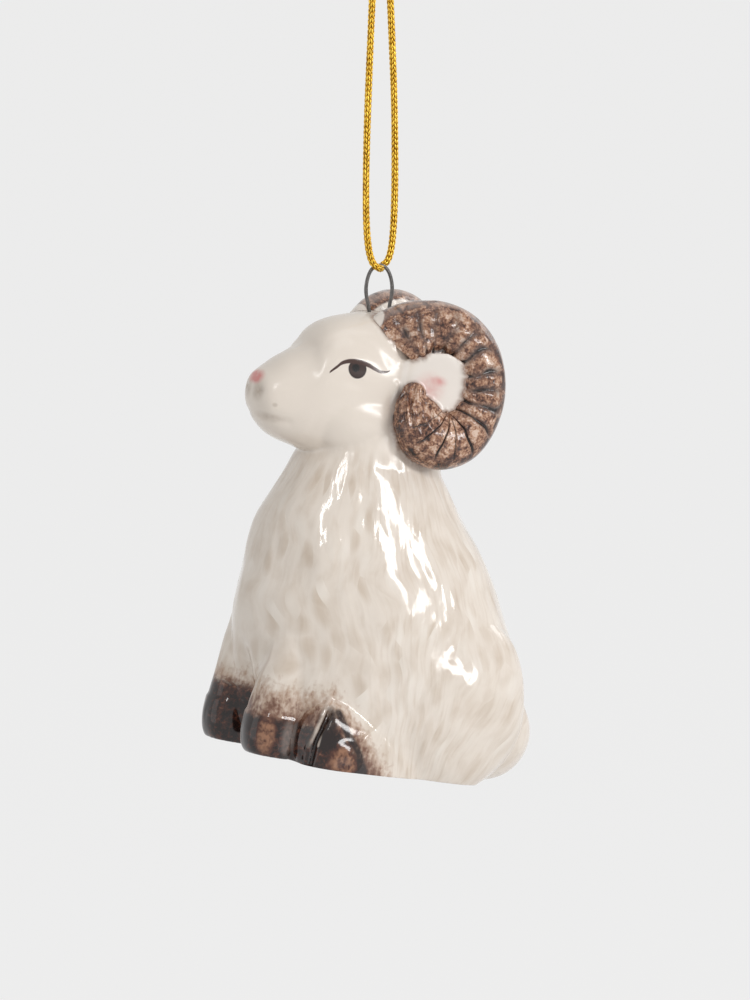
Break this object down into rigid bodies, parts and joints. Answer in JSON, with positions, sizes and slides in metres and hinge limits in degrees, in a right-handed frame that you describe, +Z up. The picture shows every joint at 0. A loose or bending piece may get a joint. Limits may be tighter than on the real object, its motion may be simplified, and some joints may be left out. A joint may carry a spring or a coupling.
{
  "type": "hanging ram ornament",
  "caption": "Glazed porcelain ram ornament, seated, with ribbed spiral horns, hung from a gold cord through a wire loop",
  "frame": {"origin": "the underside of the knot that closes the cord loop, where a hook or twig holds the ornament", "axes": "+Z up along the plumb line through the cord's crossing, -Y the way the ram looks, +X the ram's left side"},
  "size_m": [0.0344, 0.0514, 0.1511],
  "materials": {
    "cream_glaze": "gloss glaze over painted porcelain",
    "horn_glaze": "gloss glaze over mottled brown underglaze",
    "dark_wire": "fired dark wire",
    "gold_cord": "knitted metallic thread"
  },
  "bodies": {
    "cord": {"hanging_cord": "gold_cord", "cord_knot": "gold_cord"},
    "figurine": {"body_casting": "cream_glaze", "head_casting": "cream_glaze", "horn_left": "horn_glaze", "horn_right": "horn_glaze", "ear_left": "cream_glaze", "ear_right": "cream_glaze", "hanger_wire": "dark_wire"}
  },
  "joints": [
    {"name": "figurine_swing", "type": "hinge", "parent": "cord", "child": "figurine", "pos_m": [0, 0, -0.06], "axis": [1, 0, 0], "range_deg": [-45, 45]}
  ]
}
